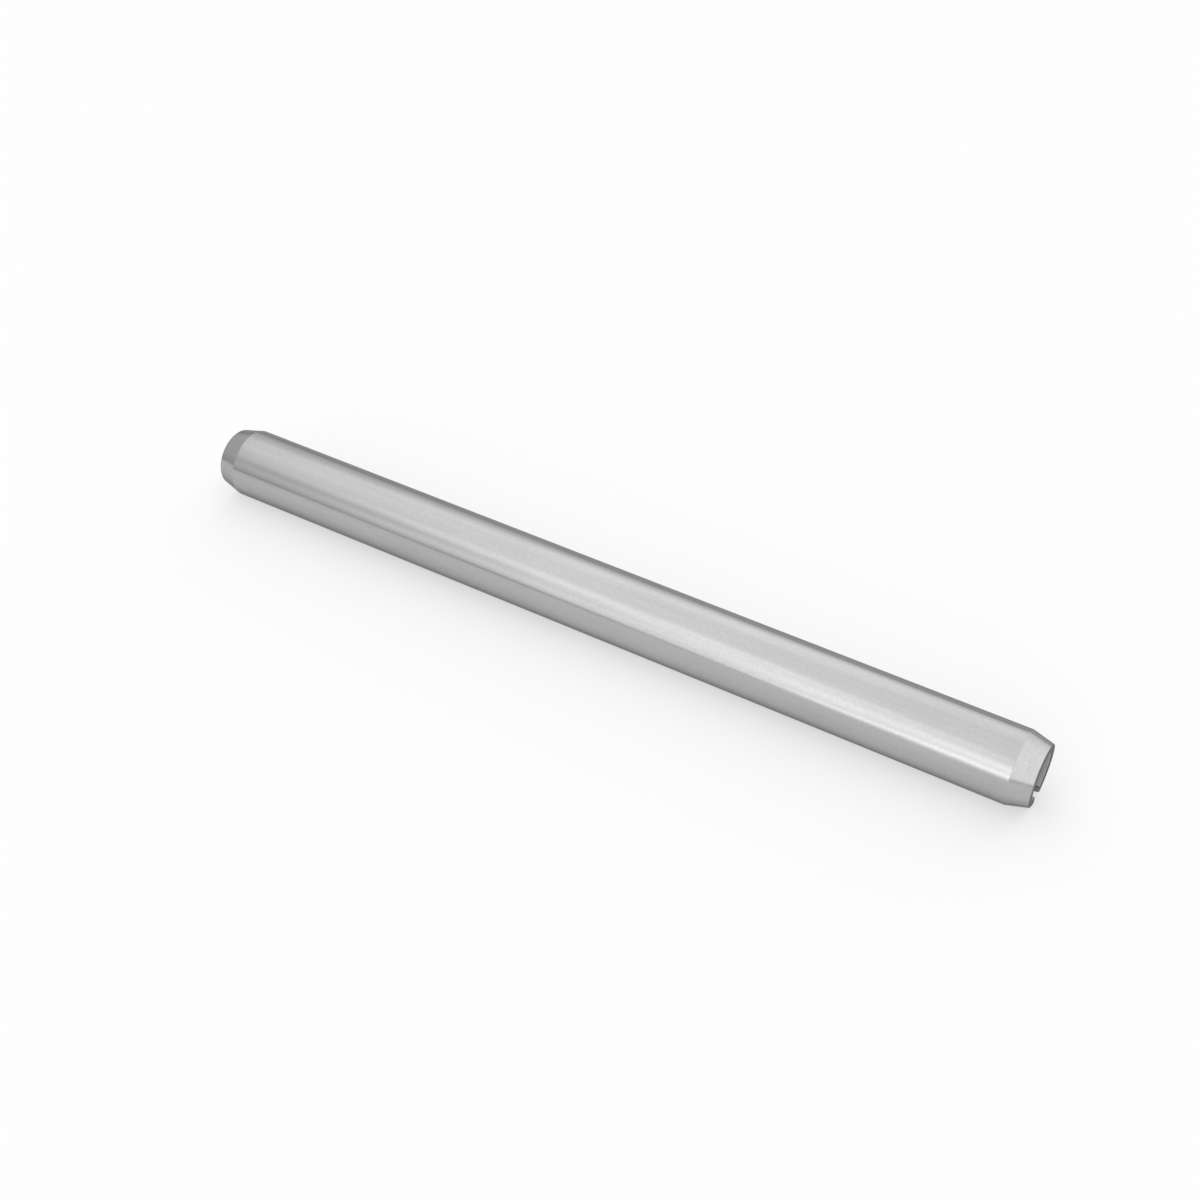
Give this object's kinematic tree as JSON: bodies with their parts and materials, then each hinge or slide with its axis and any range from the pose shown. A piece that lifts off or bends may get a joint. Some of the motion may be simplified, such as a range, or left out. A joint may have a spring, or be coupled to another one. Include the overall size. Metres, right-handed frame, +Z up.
{
  "type": "slotted spring pin",
  "caption": "Straight hollow pin rolled from spring steel, open along one narrow slot, with a shallow outside taper at each end. It grips the drilled hole that it is driven into.",
  "frame": {"origin": "on the pin's axis, halfway between its two end faces", "axes": "+X along the pin's axis and +Z up; the slot faces straight down, along -Z, and the pin rests on the slot's two long edges"},
  "size_m": [0.08, 0.0064, 0.0063],
  "materials": {
    "spring_steel": "plain satin spring steel, tumbled, uncoated"
  },
  "bodies": {
    "root": {"spring_pin": "spring_steel"}
  },
  "joints": []
}
